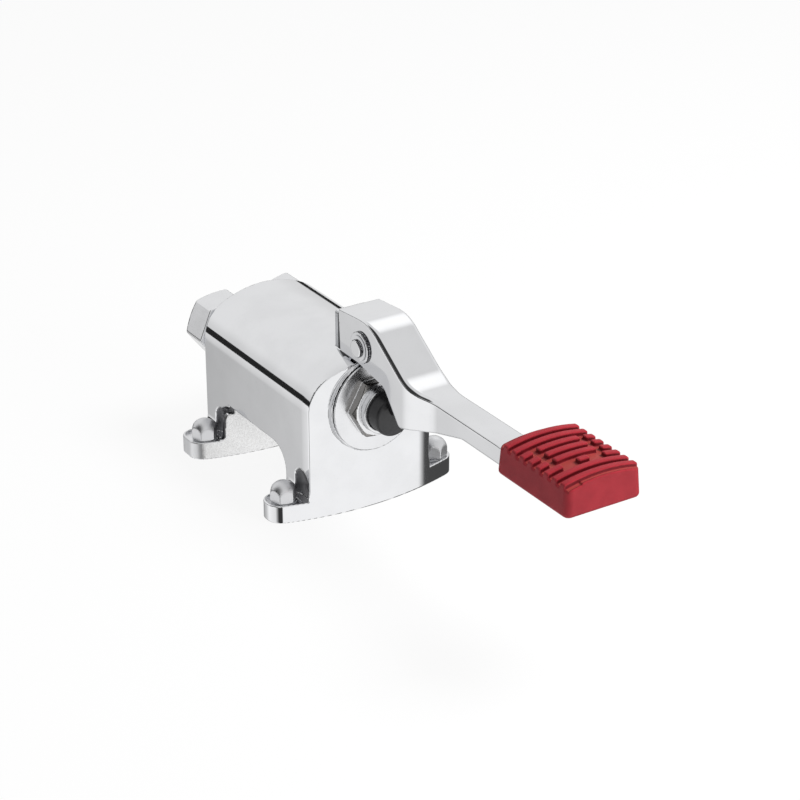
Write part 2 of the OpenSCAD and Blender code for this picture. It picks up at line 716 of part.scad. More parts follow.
module hinge_pin() color(steel) {
  difference() {
    rod_x(pin_r, -pin_half, pin_half, pivot_y, pivot_z);
    for (s = [-1, 1]) scale([s, 1, 1])
      ring_x(pin_r - clip_groove, pin_r + cut, clip_x, clip_x + clip_t, pivot_y, pivot_z);
  }
}
module hinge_bush() color(brass)
  ring_x(pin_r + slip, pin_r + slip + hinge_bush_t, -lug_w / 2, lug_w / 2, pivot_y, pivot_z);
module pin_washers() color(chrome)
  for (s = [-1, 1]) scale([s, 1, 1])
    ring_x(pin_r + slip, pin_washer_r, lever_w / 2, lever_w / 2 + pin_washer_t, pivot_y, pivot_z);
// Open retaining clips in the pin grooves
module pin_clips() color(steel)
  for (s = [-1, 1]) scale([s, 1, 1]) difference() {
    ring_x(pin_r - clip_groove + slip, clip_r, clip_x + slip, clip_x + clip_t - slip, pivot_y, pivot_z);
    translate([clip_x - cut, pivot_y - 2, pivot_z - 2 * clip_r]) cube([clip_t + 2 * cut, 4, 2 * clip_r]);
  }

// Tread rows: spans of each rib that are cut away, as shares of the half width on both sides of the middle
function row_gaps(row) = row == 3 || row == 4 || row == 5 ? [[0.58, 0.74]] : row == 6 ? [[0.155, 0.58]] : [];
module crown_shell(depth) {
  rod_y(pad_crown_r - depth, pad_front_y - 2 * cut, pad_rear_y + 2 * cut, 0, pad_top_z - pad_crown_r);
}
module tread_cut(y0, y1, x0, x1) {
  difference() {
    translate([x0, y0, pad_bottom_z + pad_h / 2]) cube([x1 - x0, y1 - y0, pad_h]);
    crown_shell(tread_depth);
  }
}
module tread_cuts() {
  half = pad_w / 2;
  first = pad_rear_y - tread_first;
  for (row = [1:8]) {
    rib_y = first - (row - 1) * tread_pitch;
    groove_end = row == 8 ? pad_front_y - 2 * cut : rib_y - tread_pitch;
    tread_cut(groove_end, rib_y - tread_rib, -half - 2 * cut, half + 2 * cut);
    for (gap = row_gaps(row), s = [-1, 1])
      tread_cut(rib_y - tread_rib - 0.1, rib_y + 0.1, min(s * gap[0], s * gap[1]) * half, max(s * gap[0], s * gap[1]) * half);
  }
  tread_cut(first, pad_rear_y + 2 * cut, -half - 2 * cut, half + 2 * cut);
}
module pad_outline(w, front, rear, r) {
  polygon(rounded([[w / 2, rear, r], [w / 2, front, r], [-w / 2, front, r], [-w / 2, rear, r]]));
}
function pad_slope(low, high) = [
  [low - pad_draft, pad_bottom_z], [high + pad_draft, pad_bottom_z], [high, pad_top_z - 4], [high, pad_top_z + cut],
  [low, pad_top_z + cut], [low, pad_top_z - 4]
];
module pedal_pad() color(red) {
  slot_w = arm_w + 2 * pad_fit;
  difference() {
    intersection() {
      translate([0, 0, pad_bottom_z]) linear_extrude(pad_h)
        pad_outline(pad_w + 2 * pad_draft, pad_front_y - pad_draft, pad_rear_y + pad_draft, pad_corner_r);
      along_y(pad_front_y - 2 * cut, pad_rear_y + 2 * cut) polygon(pad_slope(-pad_w / 2, pad_w / 2));
      along_x(2 * pad_w) polygon(pad_slope(pad_front_y, pad_rear_y));
      crown_shell(0);
    }
    tread_cuts();
    translate([0, 0, plate_z - pad_fit]) linear_extrude(plate_t + 2 * pad_fit)
      pad_outline(plate_w + 2 * pad_fit, plate_front_y - pad_fit, plate_rear_y + pad_fit, pad_corner_r + pad_fit);
    translate([-slot_w / 2, arm_end_y - pad_fit, pad_bottom_z - cut])
      cube([slot_w, pad_rear_y - arm_end_y + 2 * cut, pivot_z + arm_top_dz + pad_fit - pad_bottom_z + cut]);
  }
}

module cap_nut(hex_turn) {
  difference() {
    dome_base = nut_af / 2 * 0.97;
    dome_r = (dome_base * dome_base + nut_dome_h * nut_dome_h) / (2 * nut_dome_h);
    union() {
      rotate(hex_turn) hexagon(nut_af, nut_hex_h);
      intersection() {
        translate([0, 0, nut_hex_h + nut_dome_h - dome_r]) sphere(r = dome_r);
        translate([0, 0, nut_hex_h - 0.5]) cylinder(r = dome_base, h = nut_dome_h + cut);
      }
    }
    translate([0, 0, -cut]) cylinder(r = nut_bore_r, h = nut_bore_l + cut);
  }
}
module cap_nuts() color(chrome)
  for (i = [0, 1], k = [0, 1])
    translate([(2 * i - 1) * bolt_dx / 2, (2 * k - 1) * bolt_dy / 2, nut_z]) cap_nut(nut_turns[i][k]);
module foot_washers() color(steel)
  at_bolts() translate([0, 0, recess_z]) difference() {
    cylinder(r = foot_washer_r, h = foot_washer_t);
    translate([0, 0, -cut]) cylinder(r = nut_bore_r + 0.2, h = foot_washer_t + 2 * cut);
  }

valve_body();
inlet_union();
outlet_union();
inlet_gasket();
outlet_gasket();
bonnet();
bonnet_gasket();
stem_bush();
stem_seal();
seat_sleeve();
seat_seal();
push_button();
valve_stem();
valve_washer();
washer_holder();
holder_nut();
return_spring();
pedal_lever();
hinge_pin();
hinge_bush();
pin_washers();
pin_clips();
pedal_pad();
cap_nuts();
foot_washers();
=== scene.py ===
import math

import bmesh
import bpy
import numpy as np
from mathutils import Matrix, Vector


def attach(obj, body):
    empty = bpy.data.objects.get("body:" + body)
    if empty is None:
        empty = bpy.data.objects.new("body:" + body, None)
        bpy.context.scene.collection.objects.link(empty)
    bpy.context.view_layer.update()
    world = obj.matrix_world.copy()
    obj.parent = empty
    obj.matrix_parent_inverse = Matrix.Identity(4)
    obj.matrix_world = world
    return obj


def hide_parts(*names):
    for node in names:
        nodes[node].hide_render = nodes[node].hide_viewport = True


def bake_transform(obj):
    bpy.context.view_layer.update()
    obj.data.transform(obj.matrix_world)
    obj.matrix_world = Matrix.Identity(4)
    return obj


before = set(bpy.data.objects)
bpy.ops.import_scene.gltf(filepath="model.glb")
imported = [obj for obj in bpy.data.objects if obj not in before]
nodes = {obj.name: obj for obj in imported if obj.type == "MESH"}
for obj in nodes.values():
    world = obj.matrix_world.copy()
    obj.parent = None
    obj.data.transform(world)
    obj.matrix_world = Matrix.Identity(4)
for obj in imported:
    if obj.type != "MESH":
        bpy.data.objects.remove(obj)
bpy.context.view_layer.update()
scene = bpy.context.scene
scene.view_settings.view_transform = "Standard"
MM = 0.001


# Camera at the photograph's angle

def aim(obj, target):
    obj.rotation_euler = (Vector(target) - obj.location).to_track_quat("-Z", "Y").to_euler()


cam_data = bpy.data.cameras.new("camera")
cam_data.lens = 108
cam_data.sensor_width = 36
cam_data.clip_start = 0.01
camera = bpy.data.objects.new("camera", cam_data)
scene.collection.objects.link(camera)
camera.location = (-0.4902, -0.8313, 0.5049)
aim(camera, (0.0408, -0.0046, 0.0225))
scene.camera = camera


# Node helpers

class Tree:
    def __init__(self, tree):
        self.tree = tree
        tree.nodes.clear()

    def node(self, kind, **settings):
        n = self.tree.nodes.new("ShaderNode" + kind)
        for key, value in settings.items():
            setattr(n, key, value)
        return n

    def put(self, socket, value):
        if isinstance(value, bpy.types.NodeSocket):
            self.tree.links.new(value, socket)
        else:
            socket.default_value = value

    def math(self, op, a, b, clamp=False):
        n = self.node("Math", operation=op, use_clamp=clamp)
        for socket, value in zip(n.inputs, (a, b)):
            self.put(socket, value)
        return n.outputs[0]

    def span(self, value, low, high, to_low=0.0, to_high=1.0, kind="SMOOTHSTEP"):
        n = self.node("MapRange", interpolation_type=kind)
        for socket, v in zip(n.inputs[:5], (value, low, high, to_low, to_high)):
            self.put(socket, v)
        return n.outputs[0]

    def dot(self, a, vector):
        n = self.node("VectorMath", operation="DOT_PRODUCT")
        self.put(n.inputs[0], a)
        self.put(n.inputs[1], Vector(vector).normalized())
        return n.outputs["Value"]

    def blend(self, share, a, b):
        n = self.node("Mix", data_type="FLOAT")
        self.put(n.inputs["Factor"], share)
        self.put(n.inputs["A"], a)
        self.put(n.inputs["B"], b)
        return n.outputs["Result"]

    def colours(self, share, a, b):
        n = self.node("Mix", data_type="RGBA")
        self.put(n.inputs["Factor"], share)
        self.put(n.inputs[6], a)
        self.put(n.inputs[7], b)
        return n.outputs[2]

    def noise(self, coord, scale, detail=3.0, rough=0.55):
        n = self.node("TexNoise")
        self.put(n.inputs["Vector"], coord)
        n.inputs["Scale"].default_value = scale
        n.inputs["Detail"].default_value = detail
        n.inputs["Roughness"].default_value = rough
        return n.outputs["Fac"]

    def bump(self, height, distance, strength):
        n = self.node("Bump")
        n.inputs["Strength"].default_value = strength
        n.inputs["Distance"].default_value = distance
        self.put(n.inputs["Height"], height)
        return n.outputs[0]

    def stretched(self, coord, scale):
        n = self.node("Mapping")
        self.put(n.inputs["Vector"], coord)
        n.inputs["Scale"].default_value = scale
        return n.outputs[0]


# World: pale studio, white behind the object, a dark strip at the horizon for the metal to show

def build_world():
    world = bpy.data.worlds.new("studio")
    scene.world = world
    world.use_nodes = True
    t = Tree(world.node_tree)
    way = t.node("TexCoord").outputs["Generated"]
    split = t.node("SeparateXYZ")
    t.put(split.inputs[0], way)
    x, y, z = split.outputs["X"], split.outputs["Y"], split.outputs["Z"]

    def lobe(middle, outer, inner):
        return t.span(t.dot(way, middle), math.cos(math.radians(outer)), math.cos(math.radians(inner)))

    # Above: grey near the horizon, a soft box for the bends, a dark side to the left
    low = t.span(x, -0.3, 0.5, 0.70, 0.74)
    upper = t.blend(t.span(z, 0.0, 0.35), low, 0.84)
    upper = t.blend(t.span(z, 0.66, 0.86), upper, 0.74)
    upper = t.blend(lobe((0.485, 0.43, 0.75), 23, 4), upper, 1.18)
    upper = t.blend(lobe((-0.88, 0.0, 0.42), 41, 31), upper, 0.04)

    # Below: pale floor, greyer behind the object, with dark cards to the right and at the near left
    turn = t.math("ADD", t.math("DIVIDE", t.math("ARCTAN2", x, y), 2 * math.pi), 0.5)
    ring = t.node("ValToRGB")
    t.put(ring.inputs[0], turn)
    stops = ring.color_ramp.elements
    ring.color_ramp.interpolation = "LINEAR"
    around = ((-180, 1.0), (-161, 1.0), (-157, 0.04), (-132, 0.04), (-121, 0.40), (-110, 0.85), (-60, 1.0),
              (-45, 0.93), (-35, 0.76), (-31, 0.68), (-28, 0.52), (-20, 0.22), (-10, 0.70), (30, 0.80),
              (50, 0.80), (56, 0.07), (123.8, 0.07), (126.6, 1.0), (180, 1.0))
    stops[0].position = 0.0
    stops[1].position = 1.0
    for degrees, _ in around[1:-1]:
        stops.new(degrees / 360 + 0.5)
    for stop, (degrees, level) in zip(stops, around):
        stop.position = degrees / 360 + 0.5
        stop.color = (level, level, level, 1)
    # The cards are dark only in steep directions, and grey above them
    pale = t.math("MAXIMUM", ring.outputs[0], 0.55)
    lower = t.blend(t.span(z, -0.335, -0.375), pale, ring.outputs[0])

    # A dark strip just under the horizon, open towards the right front
    foot = t.span(x, -0.2, 0.6, -0.205, -0.13)
    strip = t.math("MULTIPLY", t.math("GREATER_THAN", z, foot), t.span(z, -0.015, -0.03))
    strip = t.math("MULTIPLY", strip, t.span(t.dot(way, (0.485, -0.875, 0)), 0.78, 0.5))
    sky = t.blend(t.span(z, -0.13, -0.03), lower, upper)
    sky = t.blend(strip, sky, 0.02)

    # The camera sees white, first reflections the studio, later ones plain grey, and matt faces an even light
    path = t.node("LightPath")
    straight = t.math("ADD", path.outputs["Is Camera Ray"], path.outputs["Is Transmission Ray"], clamp=True)
    mirrored = path.outputs["Is Glossy Ray"]
    sky = t.blend(t.math("GREATER_THAN", path.outputs["Glossy Depth"], 1.5), sky, 0.66)
    level = t.blend(mirrored, 0.40, sky)
    level = t.blend(straight, level, 1.0)
    background = t.node("Background")
    background.inputs["Color"].default_value = (1, 1, 1, 1)
    t.put(background.inputs["Strength"], level)
    out = t.node("OutputWorld")
    t.put(out.inputs["Surface"], background.outputs[0])


build_world()


def lamp(name, place, target, size, power):
    data = bpy.data.lights.new(name, "AREA")
    data.shape = "DISK"
    data.size = size
    data.energy = power
    obj = bpy.data.objects.new(name, data)
    scene.collection.objects.link(obj)
    obj.location = place
    aim(obj, target)
    obj.visible_glossy = False
    obj.visible_camera = False


lamp("key", (0.5, -0.35, 0.9), (0, -0.05, 0.03), 0.5, 9.0)
lamp("front", (0.35, -1.0, 0.35), (0, -0.05, 0.04), 0.5, 4.2)


def build_floor():
    data = bpy.data.meshes.new("floor")
    bm = bmesh.new()
    bmesh.ops.create_circle(bm, cap_ends=True, radius=3.0, segments=96)
    bm.to_mesh(data)
    bm.free()
    floor = bpy.data.objects.new("floor", data)
    scene.collection.objects.link(floor)
    floor.location.z = -0.0002
    floor.visible_glossy = False
    mat = bpy.data.materials.new("floor_white")
    mat.use_nodes = True
    t = Tree(mat.node_tree)
    path = t.node("LightPath")
    diffuse = t.node("BsdfDiffuse")
    diffuse.inputs["Color"].default_value = (0.92, 0.92, 0.92, 1)
    glow = t.node("Emission")
    glow.inputs["Color"].default_value = (1, 1, 1, 1)
    glow.inputs["Strength"].default_value = 1.0
    mix = t.node("MixShader")
    t.put(mix.inputs[0], t.math("MULTIPLY", path.outputs["Is Camera Ray"], 0.9))
    t.put(mix.inputs[1], diffuse.outputs[0])
    t.put(mix.inputs[2], glow.outputs[0])
    out = t.node("OutputMaterial")
    t.put(out.inputs["Surface"], mix.outputs[0])
    data.materials.append(mat)


build_floor()


# Materials

def material(name):
    mat = bpy.data.materials.new(name)
    mat.use_nodes = True
    t = Tree(mat.node_tree)
    shader = t.node("BsdfPrincipled")
    out = t.node("OutputMaterial")
    t.put(out.inputs["Surface"], shader.outputs[0])
    coord = t.node("TexCoord").outputs["Object"]
    return mat, t, shader, coord


PLATING_WAVE = 0.00001


def chrome(name, tint=(0.86, 0.865, 0.88), rough=(0.03, 0.075)):
    mat, t, shader, coord = material(name)
    shader.inputs["Metallic"].default_value = 1.0
    haze = t.noise(coord, 55, 4)
    lines = t.noise(t.stretched(coord, (900, 60, 900)), 1.0, 2)
    smear = t.math("ADD", t.math("MULTIPLY", haze, 0.7), t.math("MULTIPLY", lines, 0.3))
    t.put(shader.inputs["Roughness"], t.span(smear, 0.3, 0.7, rough[0], rough[1], "LINEAR"))
    dull = tuple(0.955 * c for c in tint) + (1,)
    t.put(shader.inputs["Base Color"], t.colours(t.span(haze, 0.35, 0.7), tint + (1,), dull))
    t.put(shader.inputs["Normal"], t.bump(t.noise(coord, 45, 1), PLATING_WAVE, 1.0))
    return mat


def as_cast(name):
    mat, t, shader, coord = material(name)
    shader.inputs["Metallic"].default_value = 1.0
    grain = t.node("TexVoronoi")
    t.put(grain.inputs["Vector"], coord)
    grain.inputs["Scale"].default_value = 1500
    fine = t.noise(coord, 1900, 4, 0.7)
    coarse = t.noise(coord, 420, 3)
    patch = t.noise(coord, 60, 2)
    height = t.math("ADD", t.math("MULTIPLY", fine, 0.6), t.math("MULTIPLY", coarse, 0.5))
    light = t.colours(t.span(patch, 0.3, 0.7), (1.0, 1.0, 1.0, 1), (0.93, 0.93, 0.93, 1))
    dark = t.colours(t.span(fine, 0.30, 0.62), (0.76, 0.76, 0.76, 1), light)
    t.put(shader.inputs["Base Color"], dark)
    t.put(shader.inputs["Roughness"], t.span(grain.outputs["Distance"], 0.0, 0.7, 0.24, 0.42, "LINEAR"))
    t.put(shader.inputs["Normal"], t.bump(height, 0.00022, 0.7))
    return mat


def metal(name, tint, rough, grain_scale, brush=(1, 1, 1), depth=0.00002):
    mat, t, shader, coord = material(name)
    shader.inputs["Metallic"].default_value = 1.0
    fine = t.noise(t.stretched(coord, brush), grain_scale, 3)
    stain = t.noise(coord, 130, 3)
    dark = tuple(0.82 * c for c in tint) + (1,)
    t.put(shader.inputs["Base Color"], t.colours(t.span(stain, 0.35, 0.7), tint + (1,), dark))
    t.put(shader.inputs["Roughness"], t.span(fine, 0.25, 0.75, rough[0], rough[1], "LINEAR"))
    t.put(shader.inputs["Normal"], t.bump(fine, depth, 0.6))
    return mat


def soft(name, tint, shade, rough, grain_scale, depth, gloss=0.5, groove=None):
    mat, t, shader, coord = material(name)
    shader.inputs["Specular IOR Level"].default_value = gloss
    grain = t.noise(coord, grain_scale, 4, 0.65)
    cloud = t.noise(coord, 120, 3)
    colour = t.colours(t.span(cloud, 0.3, 0.7), tint + (1,), shade + (1,))
    if groove:
        sunk = t.node("Attribute", attribute_name=groove).outputs["Fac"]
        # The sides of the rows are darkened as painted shade in the grooves. The groove floors and the front
        # ledge get an orange tone.
        flank_shade = t.math("MULTIPLY", t.span(sunk, 0.15, 0.4), t.span(sunk, 0.98, 0.8))
        colour = t.colours(flank_shade, colour, tuple(0.5 * c for c in shade) + (1,))
        colour = t.colours(t.span(sunk, 0.85, 0.99), colour, (0.33, 0.045, 0.040, 1))
    t.put(shader.inputs["Base Color"], colour)
    t.put(shader.inputs["Roughness"], t.span(grain, 0.25, 0.75, rough[0], rough[1], "LINEAR"))
    t.put(shader.inputs["Normal"], t.bump(grain, depth, 0.7))
    return mat


CHROME = chrome("chrome")
FLANGE = chrome("chrome_turned", rough=(0.20, 0.28))
FITTING = chrome("chrome_satin", rough=(0.10, 0.16))
NUT = chrome("chrome_nut", (0.76, 0.765, 0.78), (0.36, 0.43))
WORN = chrome("chrome_worn", rough=(0.30, 0.38))
# Painted shade: a dark grey standing in for the shade inside the body's pockets and notches.
POCKET_SHADE = metal("painted_pocket_shade", (0.24, 0.24, 0.25), (0.32, 0.40), 300, depth=0.000003)
# Painted shade: a near-black standing in for the shade under the lever head, on the lug and post, and on the
# hidden sides of the pin and its washers.
DARK = metal("shaded_plating", (0.07, 0.07, 0.075), (0.34, 0.42), 300, depth=0.000003)
HEXAGON = metal("bonnet_hexagon", (0.33, 0.32, 0.31), (0.20, 0.30), 400, depth=0.000005)
CAST = as_cast("rough_casting")
STEEL = metal("steel", (0.60, 0.61, 0.63), (0.22, 0.34), 600, (1, 6, 6))
BRASS = metal("brass", (0.78, 0.60, 0.28), (0.18, 0.32), 500, (6, 1, 6))
BLACK = soft("black_plastic", (0.026, 0.026, 0.028), (0.034, 0.034, 0.036), (0.32, 0.44), 2600, 0.00002, 0.45)
SEAL = soft("seal_rubber", (0.02, 0.02, 0.021), (0.03, 0.03, 0.03), (0.5, 0.7), 1800, 0.00004, 0.4)
FIBRE = soft("fibre", (0.36, 0.12, 0.09), (0.28, 0.09, 0.07), (0.65, 0.85), 900, 0.00006, 0.3)
RUBBER = soft("pad_rubber", (0.33, 0.020, 0.030), (0.28, 0.016, 0.025), (0.46, 0.62), 1500, 0.00003, 0.28,
              groove="groove")


# Forms: each gives the signed distance of points in millimetres, negative inside

def both(a, b, r=0.0):
    """Where both are, with the edge between them rounded."""
    if np.isscalar(r) and r <= 0:
        return np.maximum(a, b)
    return np.minimum(np.maximum(a, b), -r) + np.hypot(np.maximum(a + r, 0), np.maximum(b + r, 0))


def either(a, b, r=0.0):
    """Where either is, with a fillet between them."""
    if r <= 0:
        return np.minimum(a, b)
    return np.maximum(np.minimum(a, b), r) - np.hypot(np.maximum(r - a, 0), np.maximum(r - b, 0))


def without(a, b, r=0.0):
    return both(a, -b, r)


def between(v, low, high):
    return np.maximum(low - v, v - high)


class Outline:
    """A closed outline of straight lines and arcs, from corners given as (u, v, radius)."""

    def __init__(self, corners):
        pts = [np.array(c[:2], float) for c in corners]
        k = len(pts)
        area = sum(pts[i][0] * pts[(i + 1) % k][1] - pts[(i + 1) % k][0] * pts[i][1] for i in range(k))
        if area < 0:
            corners = corners[::-1]
            pts = pts[::-1]
        starts, ends = [], []
        self.arcs = []
        for i in range(k):
            p, before, after = pts[i], pts[i - 1], pts[(i + 1) % k]
            r = max(corners[i][2], 0.15)
            u = (before - p) / np.linalg.norm(before - p)
            w = (after - p) / np.linalg.norm(after - p)
            half = math.acos(max(-1.0, min(1.0, float(u @ w)))) / 2
            reach = r / math.tan(half)
            middle = p + (u + w) / np.linalg.norm(u + w) * r / math.sin(half)
            turn = (p - before)[0] * (after - p)[1] - (p - before)[1] * (after - p)[0]
            starts.append(p + u * reach)
            ends.append(p + w * reach)
            mid_way = (p - middle) / np.linalg.norm(p - middle)
            self.arcs.append((middle, r, 1.0 if turn > 0 else -1.0, mid_way, math.sin(half)))
        self.lines = [(ends[i], starts[(i + 1) % k]) for i in range(k)]

    def __call__(self, u, v):
        best = np.full(np.shape(u), 1e6)
        value = np.full(np.shape(u), 1e6)
        for a, b in self.lines:
            d = b - a
            length = np.linalg.norm(d)
            if length < 1e-9:
                continue
            d = d / length
            along = np.clip((u - a[0]) * d[0] + (v - a[1]) * d[1], 0, length)
            far = np.hypot(u - a[0] - along * d[0], v - a[1] - along * d[1])
            side = (u - a[0]) * d[1] - (v - a[1]) * d[0]
            take = far < best
            best = np.where(take, far, best)
            value = np.where(take, np.where(side > 0, far, -far), value)
        for c, r, convex, way, share in self.arcs:
            out = np.hypot(u - c[0], v - c[1])
            within = ((u - c[0]) * way[0] + (v - c[1]) * way[1]) >= share * out - 1e-9
            far = np.where(within, np.abs(out - r), 1e6)
            take = far < best
            best = np.where(take, far, best)
            value = np.where(take, convex * (out - r), value)
        return value


def slope(form, p, eps):
    g = np.empty_like(p)
    for k in range(3):
        step = np.zeros(3)
        step[k] = eps
        g[:, k] = (form(p + step) - form(p - step)) / (2 * eps)
    return g


def mesh_form(name, form, low, high, cell):
    """A closed quad mesh of a form, with its own normals; low, high and cell in millimetres."""
    low = np.array(low, float) - 1.37 * cell
    count = np.ceil((np.array(high, float) + 1.5 * cell - low) / cell).astype(int) + 1
    # Blocks of cells near the surface; only these are worked out in full
    block = 6
    parts = count // block + 1
    axes = [low[k] + (np.arange(parts[k]) + 0.5) * block * cell - 0.5 * cell for k in range(3)]
    centre = np.stack(np.meshgrid(*axes, indexing="ij"), -1).reshape(-1, 3)
    rough = form(centre).reshape(parts)
    near = np.abs(rough) < 1.05 * block * cell + cell
    grid = np.where(rough < 0, -9.0, 9.0)
    for k in range(3):
        near = np.repeat(near, block, axis=k)
        grid = np.repeat(grid, block, axis=k)
    near = near[:count[0], :count[1], :count[2]]
    grid = grid[:count[0], :count[1], :count[2]].copy()
    where = np.argwhere(near)
    values = np.empty(len(where))
    for i in range(0, len(where), 200000):
        values[i:i + 200000] = form(low + where[i:i + 200000] * cell)
    grid[near] = values
    inside = grid < 0
    # One point in each cell that the surface passes through
    corner = [(a, b, c) for a in (0, 1) for b in (0, 1) for c in (0, 1)]
    spans = count - 1
    total = sum(inside[a:a + spans[0], b:b + spans[1], c:c + spans[2]].astype(np.int8) for a, b, c in corner)
    active = (total > 0) & (total < 8)
    cells = np.argwhere(active)
    index = np.full(active.shape, -1, np.int64)
    index[active] = np.arange(len(cells))
    at = {o: grid[cells[:, 0] + o[0], cells[:, 1] + o[1], cells[:, 2] + o[2]] for o in corner}
    summed = np.zeros((len(cells), 3))
    number = np.zeros(len(cells))
    for a in corner:
        for k in range(3):
            if a[k]:
                continue
            b = tuple(1 if j == k else a[j] for j in range(3))
            crossed = (at[a] < 0) != (at[b] < 0)
            t = np.where(crossed, at[a] / np.where(crossed, at[a] - at[b], 1.0), 0.0)
            place = np.tile(np.array(a, float), (len(cells), 1))
            place[:, k] += t
            summed += place * crossed[:, None]
            number += crossed
    p = low + (cells + summed / number[:, None]) * cell
    # One face across each grid edge that the surface passes through
    quads = []
    for k in range(3):
        m, n = [j for j in range(3) if j != k]
        first = np.take(inside, range(inside.shape[k] - 1), axis=k)
        second = np.take(inside, range(1, inside.shape[k]), axis=k)
        at_edge = np.argwhere(first != second)
        ok = (at_edge[:, m] > 0) & (at_edge[:, n] > 0)
        ok &= (at_edge[:, m] < count[m] - 1) & (at_edge[:, n] < count[n] - 1)
        at_edge = at_edge[ok]
        ring = []
        for dm, dn in ((1, 1), (0, 1), (0, 0), (1, 0)):
            c = at_edge.copy()
            c[:, m] -= dm
            c[:, n] -= dn
            ring.append(index[c[:, 0], c[:, 1], c[:, 2]])
        quads.append(np.stack(ring, 1))
    quads = np.concatenate(quads)
    # Points are pulled onto the surface, and faces turned outwards
    for _ in range(3):
        g = slope(form, p, 0.02)
        d = np.clip(form(p), -0.6 * cell, 0.6 * cell)
        p = p - g * (d / np.maximum((g * g).sum(1), 0.25))[:, None]
    normal = slope(form, p, 0.03)
    normal /= np.maximum(np.linalg.norm(normal, axis=1), 1e-9)[:, None]
    face = np.cross(p[quads[:, 2]] - p[quads[:, 0]], p[quads[:, 3]] - p[quads[:, 1]])
    back = (face * normal[quads].sum(1)).sum(1) < 0
    quads[back] = quads[back][:, ::-1]
    data = bpy.data.meshes.new(name)
    data.vertices.add(len(p))
    data.vertices.foreach_set("co", (p * MM).astype(np.float32).ravel())
    data.loops.add(4 * len(quads))
    data.loops.foreach_set("vertex_index", quads.astype(np.int32).ravel())
    data.polygons.add(len(quads))
    data.polygons.foreach_set("loop_start", np.arange(0, 4 * len(quads), 4, dtype=np.int32))
    data.polygons.foreach_set("use_smooth", np.ones(len(quads), bool))
    data.update(calc_edges=True)
    data.normals_split_custom_set_from_vertices(normal)
    obj = bpy.data.objects.new(name, data)
    scene.collection.objects.link(obj)
    return obj


# Sizes of the solids, in millimetres

SLIP = 0.05
COS_30 = math.cos(math.radians(30))

BOLT_X, BOLT_Y, BOLT_R = 39.0, 35.5, 3.5
PLATE, REAR_PLATE, REAR, BOW = -47.6, 23.4, 48.0, 140.0
AXIS = 49.7
PIN_Y, PIN_Z, PIN_R = -53.5, 80.8, 4.0
PORT_X, PORT_Z = 17.5, 51.5

ARCH_X, SHOULDER_Z, SHOULDER_R = 31.0, 50.8, 18.0
CROWN_Z, CROWN_R = 26.0, 46.0
NARROW_FROM, NARROW_R = -38.5, 64.5

FOOT_X, FOOT_H, FOOT_CORNER, FOOT_EDGE = 46.8, 8.6, 7.4, 1.3
FOOT_FRONT_END, FOOT_REAR_END, FOOT_END_R, FOOT_FILLET = -27.0, 46.5, 6.0, 5.0
RECESS, RECESS_X, RECESS_RIM = 7.3, 33.5, 1.2
SPOT_R, SPOT_TOP = 5.65, 9.6
POCKET_R, POCKET_TOP, POCKET_SHIFT = 9.6, 16.0, 2.2
NOTCH_X, NOTCH_Y, NOTCH_Z, NOTCH_R = 28.5, 26.5, 19.6, 4.8
RIB_X, RIB_TOP_X, RIB_LOW, RIB_TOP, RIB_T = 33.2, 32.3, 6.3, 21.4, 2.4

TUNNEL_FRONT, TUNNEL_TOP, TUNNEL_R = -23.7, 25.5, 11.0
CAVITY_X, CAVITY_FRONT, CAVITY_TOP, VALVE_WALL_R = 26.0, -36.6, 44.0, 18.0
CORE_X, CORE_FRONT, CORE_REAR, CORE_TOP = 25.0, 30.4, 43.0, 32.5
BOSS_R, BOSS_FACE, BOSS_ROOT = 21.8, -48.2, -40.0
LUG_X, LUG_LOW, LUG_HALF = 6.4, 66.0, 7.5
POST_X, POST_FRONT, POST_REAR, POST_LOW, POST_TOP = 7.8, PIN_Y + 19.6, PIN_Y + 25.6, 62.0, 88.4

THREAD_R, THREAD_END = 14.0, -29.9
GASKET_BORE_R, GASKET_END = 17.55, -47.2
SLEEVE_BORE_R, SLEEVE_END = 12.45, -5.9
CHAMBER_R, CHAMBER_FRONT, CHAMBER_END = 10.0, -6.9, 25.1
UNION_R, UNION_BORE_END = 10.2, 35.0
PORT_GASKET_R, PORT_GASKET_END = 11.65, 46.5
WATER_R, INLET_END, OUTLET_END = 5.5, 5.6, -23.4
CROSS_R, CROSS_RISE = 4.5, 1.0
BUSH_BORE_R, BUSH_BORE_X = 5.55, 12.0


def valve_rod(x, z, r):
    """A round rod along the valve's axis."""
    return np.hypot(x, z - AXIS) - r


def arch(x, z):
    """Outline of the arch: straight sides, shoulders and a crown, which touch without a corner."""
    x = np.abs(x)
    shoulder_x = ARCH_X - SHOULDER_R
    side = x - ARCH_X
    shoulder = np.hypot(x - shoulder_x, z - SHOULDER_Z) - SHOULDER_R
    crown = np.hypot(x, z - CROWN_Z) - CROWN_R
    on_crown = (z - CROWN_Z) * shoulder_x > x * (SHOULDER_Z - CROWN_Z)
    return np.where(on_crown, crown, np.where(z < SHOULDER_Z, side, shoulder))


LUG = Outline([(PIN_Y + 16, LUG_LOW, 0), (PIN_Y + 6, PIN_Z + 7.8, 7), (PIN_Y - LUG_HALF, PIN_Z + 7.8, 7),
               (PIN_Y - LUG_HALF, PIN_Z - LUG_HALF, 6), (PIN_Y + LUG_HALF, 72.2, 0.3),
               (PIN_Y + LUG_HALF, LUG_LOW, 0)])
RIB = Outline([(RIB_X + 2, RIB_LOW, 0), (RIB_X + 2, FOOT_H, 0), (RIB_X, FOOT_H, 2),
               (RIB_TOP_X, RIB_TOP, 3), (-5, RIB_TOP, 0), (-5, RIB_LOW, 0)])


def bow_front(x, y):
    return np.hypot(x, y - PLATE - BOW) - BOW


def bow_rear(x, y):
    return np.hypot(x, y - REAR_PLATE - BOW) - BOW


